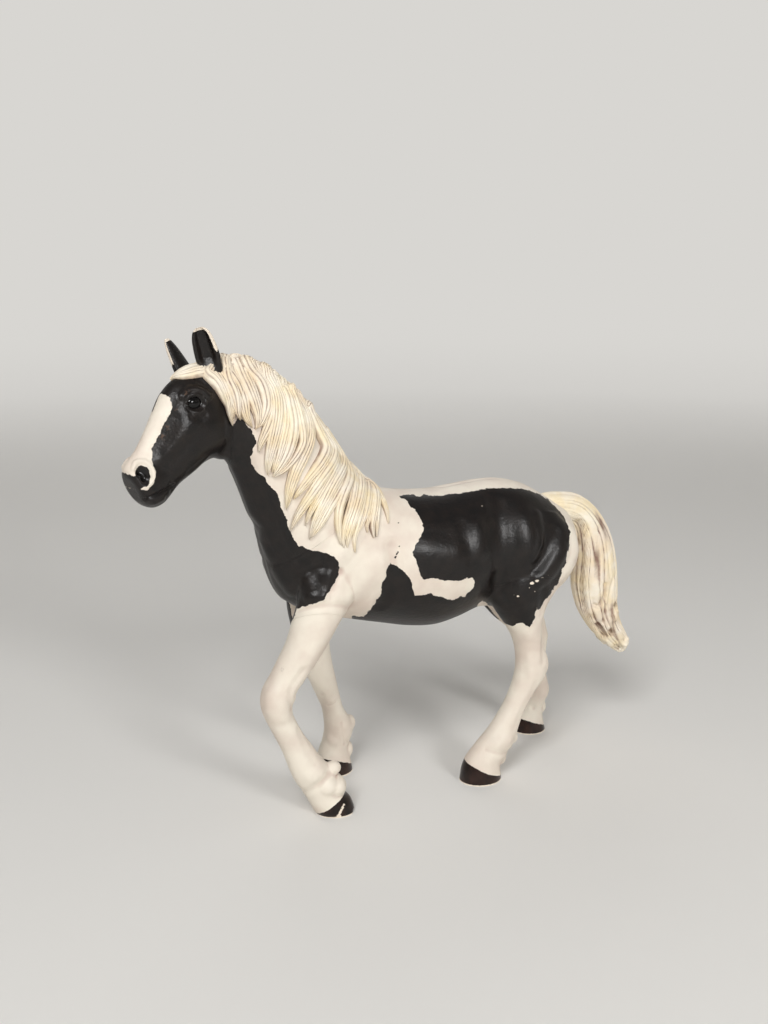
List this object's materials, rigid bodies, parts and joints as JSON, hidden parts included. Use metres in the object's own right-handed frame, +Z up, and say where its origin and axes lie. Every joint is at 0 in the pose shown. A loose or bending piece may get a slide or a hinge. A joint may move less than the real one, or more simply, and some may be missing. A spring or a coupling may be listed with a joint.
{
  "type": "toy horse figure",
  "caption": "Walking pinto toy horse, moulded PVC, painted black and white, with a cream mane and tail. Stands on four hooves with its head turned slightly to its left.",
  "frame": {"origin": "on the ground, under the middle of the figure's bounding box", "axes": "+Z up; -X the way the horse faces, so the tail is at +X; -Y is the horse's own left side, the side that the picture shows"},
  "size_m": [0.1382, 0.0316, 0.1134],
  "materials": {
    "coat": "ivory PVC with black satin patches, hand painted",
    "dark_coat": "black satin paint on PVC with ivory marks, hand painted",
    "hair": "cream paint with a grey-brown wash in the strands"
  },
  "bodies": {
    "root": {"torso": "coat", "neck": "dark_coat", "head": "dark_coat", "left_ear": "dark_coat", "right_ear": "dark_coat", "forelock": "hair", "mane": "hair", "left_foreleg": "coat", "right_foreleg": "coat", "left_hindleg": "coat", "right_hindleg": "coat", "tail": "hair"}
  },
  "joints": []
}
